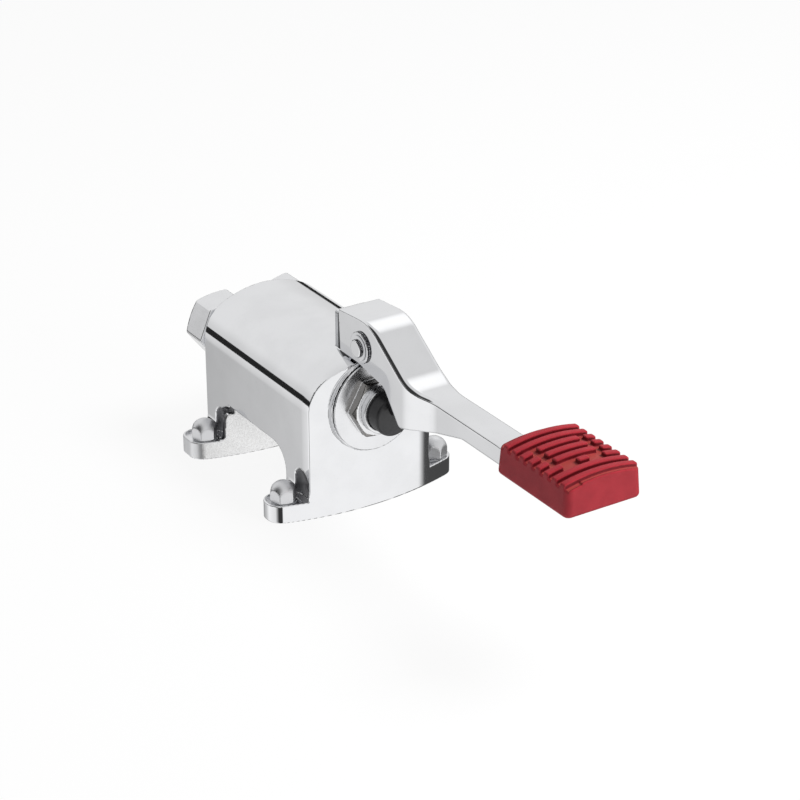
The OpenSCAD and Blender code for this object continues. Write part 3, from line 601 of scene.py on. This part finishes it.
def foot_plan(x, y, bow, at):
    """Plan of the feet at one end: the bowed face and the sides, with a round corner."""
    ax = np.abs(x)
    cx = FOOT_X - FOOT_CORNER
    rise = math.sqrt((BOW - FOOT_CORNER) ** 2 - cx ** 2)
    dx, dy = ax - cx, y - (at + BOW - rise)
    round_part = (dy < 0) & (cx * dy + rise * dx > 0)
    return np.where(round_part, np.hypot(dx, dy) - FOOT_CORNER, np.maximum(bow, ax - FOOT_X))


def pocket_form(x, y, z):
    """Room for a spanner beside each nut, with a round top."""
    by = np.where(y < 0, -BOLT_Y, BOLT_Y)
    reach = np.hypot(np.abs(x) - BOLT_X, y - by + POCKET_SHIFT)
    return np.where(z < POCKET_TOP, reach, np.hypot(reach, z - POCKET_TOP)) - POCKET_R


def notch_form(x, y, z):
    return both(np.hypot(y - NOTCH_Y, z - NOTCH_Z) - NOTCH_R, NOTCH_X - np.abs(x))


def bore_form(x, y, z):
    """The water way: bores along the valve's axis, the ports and the cross holes between them."""
    ax = np.abs(x)
    bores = both(valve_rod(x, z, THREAD_R + SLIP), y - THREAD_END)
    bores = either(bores, both(valve_rod(x, z, GASKET_BORE_R), y - GASKET_END))
    bores = either(bores, both(valve_rod(x, z, SLEEVE_BORE_R), y - SLEEVE_END))
    bores = either(bores, both(valve_rod(x, z, CHAMBER_R), between(y, CHAMBER_FRONT, CHAMBER_END)))
    port = np.hypot(ax - PORT_X, z - PORT_Z)
    bores = either(bores, both(port - UNION_R - SLIP, UNION_BORE_END - y))
    bores = either(bores, both(port - PORT_GASKET_R, PORT_GASKET_END - y))
    end = np.where(x < 0, INLET_END, OUTLET_END)
    bores = either(bores, both(port - WATER_R, end - y))
    cross = np.hypot(y - end - WATER_R, z - AXIS - CROSS_RISE) - CROSS_R
    return either(bores, both(cross, ax - PORT_X))


def body_form(p):
    x, y, z = p[:, 0], p[:, 1], p[:, 2]
    ax = np.abs(x)
    by = np.where(y < 0, -BOLT_Y, BOLT_Y)
    rear_face = bow_rear(x, y)
    wall = arch(x, z) + np.maximum(NARROW_FROM - y, 0) ** 2 / (2 * NARROW_R)
    plan_front = foot_plan(x, y, bow_front(x, y), PLATE)
    plan_rear = foot_plan(x, y, rear_face, REAR_PLATE)
    front_end = both(ax - FOOT_X, y - FOOT_FRONT_END, FOOT_END_R)
    rear_end = both(ax - FOOT_X, y - FOOT_REAR_END, FOOT_END_R)
    slab_front = both(front_end, z - FOOT_H, FOOT_EDGE)
    slab_rear = both(rear_end, z - FOOT_H, FOOT_EDGE)

    # Front half with its tunnel and cavity, rear half with its notch, then the rib across the rear leg
    pocket = pocket_form(x, y, z)
    front_part = either(without(either(wall, slab_front, FOOT_FILLET), pocket, 0.6), slab_front)
    notched = either(pocket, notch_form(x, y, z), 4.0)
    rear_part = either(without(either(wall, slab_rear, FOOT_FILLET), notched, 0.6), slab_rear)
    tunnel = both(TUNNEL_FRONT - y, z - TUNNEL_TOP, TUNNEL_R)
    cavity = both(both(ax - CAVITY_X, CAVITY_FRONT - y, 3.0), z - CAVITY_TOP, 2.0)
    cavity = without(cavity, valve_rod(x, z, VALVE_WALL_R), 2.0)
    front_part = without(front_part, either(tunnel, cavity, 1.0), 0.8)
    form = either(front_part, both(rear_part, plan_rear, 0.5))
    form = without(form, both(notched, FOOT_H - z), 0.6)
    rib = both(RIB(ax, z), both(rear_face, -RIB_T - rear_face, 0.3), 0.5)
    form = either(form, rib)
    form = both(both(form, plan_front, 0.3), y - REAR, 1.2)

    # Boss for the bonnet, lug for the hinge and the post behind the lever head
    form = either(form, both(valve_rod(x, z, BOSS_R), between(y, BOSS_FACE, BOSS_ROOT), 0.25), 0.3)
    form = either(form, both(LUG(y, z), ax - LUG_X, 0.5), 0.8)
    post = both(ax - POST_X, between(y, POST_FRONT, POST_REAR), 1.6)
    post = both(post, between(z, POST_LOW, POST_TOP), 1.4)
    form = either(form, post, 0.5)

    # Recesses on the feet, the core opening, bores and holes
    sunk = either(both(plan_front, front_end), both(plan_rear, rear_end)) + RECESS_RIM
    sunk = both(both(sunk, RECESS_X - ax, 0.4), RECESS - z)
    bolt = np.hypot(ax - BOLT_X, y - by)
    spot = both(bolt - SPOT_R, between(z, RECESS, SPOT_TOP))
    form = without(form, without(either(sunk, spot), rib), 0.35)
    core = both(both(ax - CORE_X, between(y, CORE_FRONT, CORE_REAR), 2.0), z - CORE_TOP, 2.0)
    form = without(form, core, 0.5)
    form = without(form, bore_form(x, y, z), 0.2)
    form = without(form, bolt - BOLT_R, 0.2)
    form = without(form, both(np.hypot(y - PIN_Y, z - PIN_Z) - BUSH_BORE_R, ax - BUSH_BORE_X), 0.2)
    return both(form, -z, 0.4)


# Lever: the head over the hinge, the arm and the insert in the pad

LEVER_X, ARM_X = 10.1, 7.0
HOLLOW_X = 6.9
WEB_X, WEB_FRONT, WEB_REAR, WEB_LOW, WEB_TOP = 7.4, -71.0, -66.0, 70.0, 87.0
TONGUE_X = 4.0
INSERT_X, INSERT_REAR, INSERT_FRONT, INSERT_LOW, INSERT_TOP = 13.2, -168.1, -205.3, 75.4, 79.6

HEAD = Outline([(PIN_Y + u, PIN_Z + v, r) for u, v, r in (
    (17.2, -8.2, 1), (18.6, 11.2, 2), (-7.3, 13.5, 22), (-35.5, -5, 24), (-134.5, -4.3, 0.4),
    (-134.5, -7.5, 2), (-112.5, -14, 8), (-71, -14, 10), (-29.1, -25.8, 3), (-17.5, -11.8, 5),
    (3.5, -8.4, 6))])
HOLLOW = Outline([(PIN_Y + u, PIN_Z + v, r) for u, v, r in (
    (14, -40, 0), (14, 7.7, 3), (-6.3, 10, 18), (-32.5, -8.5, 4), (-48, -40, 0))])
LEVER_PLAN = Outline([(x, PIN_Y + y, r) for x, y, r in (
    (ARM_X, -135.5, 0), (ARM_X, -50.5, 30), (LEVER_X, -34.5, 30), (LEVER_X, 18.6, 1),
    (-LEVER_X, 18.6, 1), (-LEVER_X, -34.5, 30), (-ARM_X, -50.5, 30), (-ARM_X, -135.5, 0))])
TONGUE = Outline([(-64.5, 53, 2.9), (-64.5, 76, 0), (-70.5, 76, 0), (-70.5, 53, 2.9)])
INSERT_PLAN = Outline([(INSERT_X, INSERT_REAR, 1.6), (INSERT_X, INSERT_FRONT, 1.6),
                       (-INSERT_X, INSERT_FRONT, 1.6), (-INSERT_X, INSERT_REAR, 1.6)])


def lever_form(p):
    x, y, z = p[:, 0], p[:, 1], p[:, 2]
    ax = np.abs(x)
    # The edge radius grows from the head's rear and underside to the slope's upper side
    middle = np.interp(y - PIN_Y, (-134, -71, -36, -29, -17, 0, 25), (-6, -9.5, -15, -13, 0, 2, 1))
    upper = np.clip((z - PIN_Z - middle) / 4 + 0.5, 0, 1)
    edge = 0.8 + 1.4 * upper * np.clip((PIN_Y + 2 - y) / 16, 0, 1)
    form = both(HEAD(y, z), LEVER_PLAN(x, y), edge)
    form = without(form, both(HOLLOW(y, z), ax - HOLLOW_X, 1.0), 0.5)
    web = both(between(y, WEB_FRONT, WEB_REAR), both(between(z, WEB_LOW, WEB_TOP), ax - WEB_X), 0.5)
    form = either(form, web, 0.8)
    form = either(form, both(TONGUE(y, z), ax - TONGUE_X, 0.5), 0.6)
    form = either(form, both(INSERT_PLAN(x, y), between(z, INSERT_LOW, INSERT_TOP), 0.5))
    return without(form, np.hypot(y - PIN_Y, z - PIN_Z) - PIN_R - SLIP, 0.2)


# Pad: a flared block with eight rows on a crowned top

PAD_X, PAD_REAR, PAD_FRONT, PAD_LOW, PAD_TOP = 16.6, -164.7, -208.7, 72.6, 88.3
PAD_CROWN_R, PAD_FLARE, PAD_FLARE_LOW = 72.0, 0.55, 0.65
ROW_FIRST, ROW_STEP, ROW_WIDE, GROOVE = 2.9, 5.2, 3.0, 2.1
LIP_WIDE, LIP_X, LIP_DROP = 1.5, -10.4, 1.4
INSERT_ROOM = 0.1
SLOT_X, SLOT_FRONT, SLOT_TOP = 7.1, -188.1, 76.6
ROW_GAPS = {3: (0.58, 0.74), 4: (0.58, 0.74), 5: (0.58, 0.74), 6: (0.155, 0.58)}


def pad_crown(x, z):
    return np.hypot(x, z - PAD_TOP + PAD_CROWN_R) - PAD_CROWN_R


def pad_form(p):
    x, y, z = p[:, 0], p[:, 1], p[:, 2]
    ax = np.abs(x)
    shoulder = PAD_TOP - 4
    flare = PAD_FLARE + PAD_FLARE_LOW * np.clip((shoulder - z) / (shoulder - PAD_LOW), 0, 1)
    sides = both(ax - PAD_X - flare, between(y, PAD_FRONT - flare, PAD_REAR + flare), 3.0)
    crown = pad_crown(x, z)
    ribs = np.full(len(p), 1e3)
    for row in range(1, 9):
        high = PAD_REAR - ROW_FIRST - (row - 1) * ROW_STEP
        rib = between(y, high - ROW_WIDE, high)
        if row in ROW_GAPS:
            low_share, high_share = ROW_GAPS[row]
            rib = without(rib, between(ax, low_share * PAD_X, high_share * PAD_X), 0.8)
        ribs = np.minimum(ribs, rib)
    lip = both(both(y - PAD_FRONT - LIP_WIDE, LIP_X - x, 0.6), crown + LIP_DROP, 0.4)
    top = either(either(crown + GROOVE, lip, 0.4), both(ribs, crown, 0.8), 0.7)
    form = both(both(sides, PAD_LOW - z, 2.0), top, 0.7)
    room = between(z, INSERT_LOW - INSERT_ROOM, INSERT_TOP + INSERT_ROOM)
    form = without(form, both(INSERT_PLAN(x, y) - INSERT_ROOM, room))
    slot = both(both(ax - SLOT_X, SLOT_FRONT - y), z - SLOT_TOP)
    return without(form, slot, 0.4)


def hex_form(u, v, across, turn, r):
    """Hexagon with a corner at the angle turn, its edges rounded."""
    a = np.mod(np.arctan2(v, u) - math.radians(turn), math.radians(60)) - math.radians(30)
    out = np.hypot(u, v)
    return both(out * np.cos(a) - across / 2, out * np.cos(math.radians(60) - np.abs(a)) - across / 2, r)


# Unions

UNION_ACROSS, UNION_FACE, UNION_START, UNION_CHAMFER_R = 27.0, 63.5, 36.0, 12.555
SOCKET_R, SOCKET_END, UNION_BORE_R = 9.3, 51.5, 6.0


def union_form(cx, turn):
    def form(p):
        x, y, z = p[:, 0] - cx, p[:, 1], p[:, 2] - PORT_Z
        out = np.hypot(x, z)
        body = both(hex_form(x, z, UNION_ACROSS, turn, 0.7), between(y, REAR, UNION_FACE), 0.5)
        chamfer = (out - UNION_CHAMFER_R) * 0.5 + (y - UNION_FACE) * COS_30
        body = both(body, chamfer, 0.8)
        body = either(body, both(out - UNION_R, between(y, UNION_START, REAR + 2), 0.3))
        body = without(body, both(out - SOCKET_R, SOCKET_END - y), 0.5)
        return without(body, out - UNION_BORE_R, 0.3)
    return form


# Bonnet and button

FLANGE_R, FLANGE_FRONT, FLANGE_REAR, JOINT_R = 21.2, -49.6, -48.75, 20.6
BONNET_ACROSS, BONNET_FACE, BONNET_ROOT, BONNET_CHAMFER_R = 25.0, -53.8, -49.0, 12.25
COLLAR_R, COLLAR_FACE, COLLAR_ROOT = 10.6, -57.0, -53.0
BUTTON_R, BUTTON_FRONT, BUTTON_REAR, BUTTON_ROOM_END = 9.0, -64.2, -44.8, -39.0
STEM_R, STEM_FRONT, STEM_BUSH_R = 4.0, -60.2, 6.0


def bonnet_form(p):
    x, y, z = p[:, 0], p[:, 1], p[:, 2] - AXIS
    out = np.hypot(x, z)
    body = both(out - FLANGE_R, between(y, FLANGE_FRONT, FLANGE_REAR), 0.3)
    body = either(body, both(out - JOINT_R, between(y, BONNET_ROOT, BOSS_FACE)))
    hexagon = both(hex_form(x, z, BONNET_ACROSS, 0, 0.35), between(y, BONNET_FACE, BONNET_ROOT), 0.2)
    hexagon = both(hexagon, (out - BONNET_CHAMFER_R) * 0.5 + (BONNET_FACE - y) * COS_30, 0.3)
    body = either(body, hexagon, 0.3)
    body = either(body, both(out - THREAD_R, between(y, BONNET_ROOT, THREAD_END), 0.2))
    body = either(body, both(out - COLLAR_R, between(y, COLLAR_FACE, COLLAR_ROOT), 0.4), 0.2)
    bores = either(both(out - BUTTON_R - SLIP, y - BUTTON_ROOM_END), out - STEM_BUSH_R - SLIP)
    return without(body, bores, 0.45)


def button_form(p):
    x, y, z = p[:, 0], p[:, 1], p[:, 2] - AXIS
    out = np.hypot(x, z)
    body = both(out - BUTTON_R, between(y, BUTTON_FRONT, BUTTON_REAR), 1.3)
    return without(body, both(out - STEM_R - SLIP, STEM_FRONT - y), 0.2)


# Cap nuts and the washers under them

NUT_ACROSS, NUT_LOW, NUT_DOME_R, NUT_DOME_Z, NUT_CHAMFER_R = 10.5, 8.5, 6.15, 2.95, 5.1
NUT_BORE_R, NUT_BORE_TOP = 3.0, 6.4


def nut_form(cx, cy, turn):
    def form(p):
        x, y, z = p[:, 0] - cx, p[:, 1] - cy, p[:, 2] - NUT_LOW
        out = np.hypot(x, y)
        dome = np.hypot(out, z - NUT_DOME_Z) - NUT_DOME_R
        turned = np.where(z > NUT_DOME_Z, dome, out - NUT_DOME_R)
        turned = both(turned, (out - NUT_CHAMFER_R) * 0.5 - z * COS_30, 0.2)
        nut = both(both(hex_form(x, y, NUT_ACROSS, turn, 0.25), turned, 0.3), -z, 0.1)
        return without(nut, both(out - NUT_BORE_R, z - NUT_BORE_TOP))
    return form


FLAT_R, FLAT_BORE_R = 5.5, 3.2


def flat_washer_form(cx, cy, turn):
    """A round washer, so its turn doesn't matter."""
    def form(p):
        out = np.hypot(p[:, 0] - cx, p[:, 1] - cy)
        return without(both(out - FLAT_R, between(p[:, 2], RECESS, NUT_LOW), 0.2), out - FLAT_BORE_R, 0.1)
    return form


# Hinge pin and its washers

PIN_WASHER_R, PIN_WASHER_T = 7.0, 1.1
PIN_END, CLIP_IN, CLIP_OUT, CLIP_R = 13.1, 11.3, 12.1, 3.2


def washer_form(p):
    x, y, z = p[:, 0], p[:, 1] - PIN_Y, p[:, 2] - PIN_Z
    out = np.hypot(y, z)
    ring = both(out - PIN_WASHER_R, between(np.abs(x), LEVER_X, LEVER_X + PIN_WASHER_T), 0.3)
    return without(ring, out - PIN_R - SLIP, 0.2)


def pin_form(p):
    x, y, z = p[:, 0], p[:, 1] - PIN_Y, p[:, 2] - PIN_Z
    out = np.hypot(y, z)
    form = both(out - PIN_R, np.abs(x) - PIN_END, 0.6)
    return without(form, both(between(np.abs(x), CLIP_IN, CLIP_OUT), CLIP_R - out), 0.1)


# Return spring

SPRING_R, SPRING_WIRE, SPRING_TURNS = 7.2, 1.6, 6
HOLDER_REAR = 1.6
SPRING_LOW, SPRING_HIGH = HOLDER_REAR + SPRING_WIRE / 2 + SLIP, CHAMBER_END - SPRING_WIRE / 2 - SLIP


def spring_mesh(name):
    """The return spring: round wire wound about the valve's axis, from washer holder to chamber end."""
    steps, sides = 16, 8
    rings = steps * SPRING_TURNS
    turn = np.repeat(np.arange(rings + 1) * 2 * math.pi / steps, sides)
    around = np.tile(np.arange(sides) * 2 * math.pi / sides, rings + 1)
    out = SPRING_R + SPRING_WIRE / 2 * np.cos(around)
    rise = (SPRING_HIGH - SPRING_LOW) / SPRING_TURNS
    y = SPRING_LOW + rise * turn / (2 * math.pi) + SPRING_WIRE / 2 * np.sin(around)
    points = np.stack([out * np.cos(turn), y, AXIS + out * np.sin(turn)], 1) * MM
    faces = [list(range(sides))[::-1], list(range(rings * sides, (rings + 1) * sides))]
    for i in range(rings):
        a, b = i * sides, (i + 1) * sides
        faces += [(a + k, a + (k + 1) % sides, b + (k + 1) % sides, b + k) for k in range(sides)]
    data = bpy.data.meshes.new(name)
    data.from_pydata(points.tolist(), [], faces)
    data.polygons.foreach_set("use_smooth", [False, False] + [True] * (len(faces) - 2))
    obj = bpy.data.objects.new(name, data)
    scene.collection.objects.link(obj)
    return obj


# Pieces: each stands for a CAD node, rides on its body and takes its materials


def stand_for(obj, node, body, *mats):
    for m in mats:
        obj.data.materials.append(m)
    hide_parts(node)
    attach(obj, body)


def joined(name, pieces):
    """One object from several, with their normals kept."""
    bpy.ops.object.select_all(action="DESELECT")
    for o in pieces:
        o.select_set(True)
    bpy.context.view_layer.objects.active = pieces[0]
    bpy.ops.object.join()
    pieces[0].name = name
    pieces[0].data.name = name
    return pieces[0]


def in_range(v, low, high):
    return (v > low) & (v < high)


def of_faces(obj, kind):
    """The centre, in metres, or the normal of each face."""
    values = np.empty(3 * len(obj.data.polygons), np.float32)
    obj.data.polygons.foreach_get(kind, values)
    return values.reshape(-1, 3)


def paint(obj, index):
    obj.data.polygons.foreach_set("material_index", np.asarray(index).astype(np.int32))


def paint_body(obj):
    """Chrome, with rough cast inside the arch and on the rear leg, painted shade in the pockets and notches,
    worn ends of the rear feet and painted shade on the lug. The post's sides take painted shade next to the
    lever head and are steel behind it."""
    x, y, z = (of_faces(obj, "center") / MM).T
    normal = of_faces(obj, "normal")
    ax = np.abs(x)
    deep = (arch(x, z) < -4.7) & (bow_front(x, y) < -3) & (y < 46) & (z < 46)
    leg = (np.abs(bow_rear(x, y)) < 1.2) & (normal[:, 1] < -0.85) & (z < 26) & (ax < 44)
    in_pocket = (np.abs(pocket_form(x, y, z)) < 0.35) & (z > FOOT_H) & (z < 26)
    in_notch = (ax > 26.5) & in_range(z, 8.9, 27) & in_range(y, 20, 39) & (np.abs(arch(x, z)) > 0.3)
    # The pockets and notches take painted shade.
    sunk = (in_pocket | in_notch) & ~leg
    post = (ax < POST_X + 0.4) & (arch(x, z) > 0.1) & in_range(y, PIN_Y + 19, PIN_Y + 26)
    post &= normal[:, 2] < 0.8
    lug = (ax < LUG_X + 0.5) & (z > 71.3) & (y < PIN_Y + 17.5)
    # Painted shade on the lug and on the post's sides next to the lever head.
    shade = lug | (post & (y < PIN_Y + 22.4))
    ends = (y > 20) & (z < FOOT_H) & (ax > 40)
    paint(obj, np.select([shade, post, sunk, deep | leg, ends], [4, 5, 2, 1, 3], 0))


def paint_rims(obj):
    """Second material: painted shade on the round sides of a turned piece along X."""
    paint(obj, np.abs(of_faces(obj, "normal")[:, 0]) < 0.6)


def paint_lever(obj):
    """Second material: painted shade in the hollow of the head."""
    x, y, z = (of_faces(obj, "center") / MM).T
    paint(obj, (HOLLOW(y, z) < 0.4) & (np.abs(x) < HOLLOW_X + 0.4))


def paint_bonnet(obj):
    """Second material: the joint behind the flange. Third: the flats of the hexagon."""
    x, y, z = (of_faces(obj, "center") / MM).T
    out = np.hypot(x, z - AXIS)
    joint = (out > 20.2) & (y > -48.72)
    flats = (out > 12.0) & in_range(y, -53.6, -49.8)
    paint(obj, np.where(joint, 1, np.where(flats, 2, 0)))


def mark_grooves(obj):
    """How deep each point of the pad's top lies, from 0 on a row to 1 on the floor and on the front ledge."""
    at = np.empty(3 * len(obj.data.vertices), np.float32)
    obj.data.vertices.foreach_get("co", at)
    x, y, z = (at.reshape(-1, 3) / MM).T
    inset = np.maximum(np.abs(x) - PAD_X - PAD_FLARE, between(y, PAD_FRONT - PAD_FLARE, PAD_REAR + PAD_FLARE))
    sunk = np.where((z > 83) & (inset < -0.7), np.clip(-pad_crown(x, z) / GROOVE, 0, 1), 0)
    sunk = np.where((sunk > 0.3) & (y < PAD_FRONT + 1.3), 1, sunk)
    values = obj.data.attributes.new("groove", "FLOAT", "POINT")
    values.data.foreach_set("value", sunk.astype(np.float32))


def at_corners(name, form, reach, low, high):
    """One piece at each of the four bolts, joined; each nut has its own turn."""
    pieces = []
    for a, b, turn in ((-1, -1, 45), (-1, 1, 45), (1, -1, 27), (1, 1, 12)):
        cx, cy = BOLT_X * a, BOLT_Y * b
        start, end = (cx - reach, cy - reach, low), (cx + reach, cy + reach, high)
        pieces.append(mesh_form("%s_%d" % (name, len(pieces)), form(cx, cy, turn), start, end, 0.3))
    return joined(name, pieces)


body = mesh_form("body_casting", body_form, (-47, -62, 0), (47, 48.2, 90), 0.6)
stand_for(body, "valve_body", "base", CHROME, CAST, POCKET_SHADE, WORN, DARK, STEEL)
paint_body(body)

lever = mesh_form("lever_casting", lever_form, (-14, -206, 50), (14, -28, 95), 0.6)
stand_for(lever, "pedal_lever", "pedal", CHROME, DARK)
paint_lever(lever)

pad = mesh_form("pad_moulding", pad_form, (-18, -210.1, 72.5), (18, -163.3, 88.4), 0.4)
stand_for(pad, "pedal_pad", "pedal", RUBBER)
mark_grooves(pad)

for name, node, cx, turn in (("inlet_fitting", "inlet_union", -PORT_X, 7.5),
                             ("outlet_fitting", "outlet_union", PORT_X, 20)):
    piece = mesh_form(name, union_form(cx, turn), (cx - 16, 35.5, 35), (cx + 16, 64, 68), 0.5)
    stand_for(piece, node, "base", FITTING)

bonnet = mesh_form("bonnet_turned", bonnet_form, (-21.5, -57.2, 28), (21.5, -29.5, 71.5), 0.45)
stand_for(bonnet, "bonnet", "base", FLANGE, SEAL, HEXAGON)
paint_bonnet(bonnet)

button = mesh_form("button_moulding", button_form, (-9.2, -64.5, 40.4), (9.2, -44.6, 59), 0.4)
stand_for(button, "push_button", "plunger", BLACK)

nuts = at_corners("domed_nuts", nut_form, 6.3, 8.4, 17.8)
stand_for(nuts, "cap_nuts", "base", NUT)

flats = at_corners("flat_washers", flat_washer_form, 5.6, 7.2, 8.6)
stand_for(flats, "foot_washers", "base", STEEL)

hinge_washers = mesh_form("hinge_washers", washer_form, (-11.6, -60.6, 73.7), (11.6, -46.4, 87.9), 0.3)
stand_for(hinge_washers, "pin_washers", "pedal", CHROME, DARK)
paint_rims(hinge_washers)

pin = mesh_form("pin_turned", pin_form, (-14.1, -57.6, 76.7), (14.1, -49.4, 84.9), 0.3)
stand_for(pin, "hinge_pin", "pedal", CHROME, DARK)
paint_rims(pin)

spring = spring_mesh("spring_wound")
spring.data.materials.append(STEEL)
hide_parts("return_spring")
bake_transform(spring)

for node, mat in (("inlet_gasket", FIBRE), ("outlet_gasket", FIBRE), ("bonnet_gasket", FIBRE),
                  ("stem_bush", BRASS), ("stem_seal", SEAL), ("seat_sleeve", BRASS), ("seat_seal", SEAL),
                  ("valve_stem", STEEL), ("valve_washer", SEAL), ("washer_holder", BRASS),
                  ("holder_nut", BRASS), ("hinge_bush", BRASS), ("pin_clips", CHROME)):
    nodes[node].data.materials.clear()
    nodes[node].data.materials.append(mat)
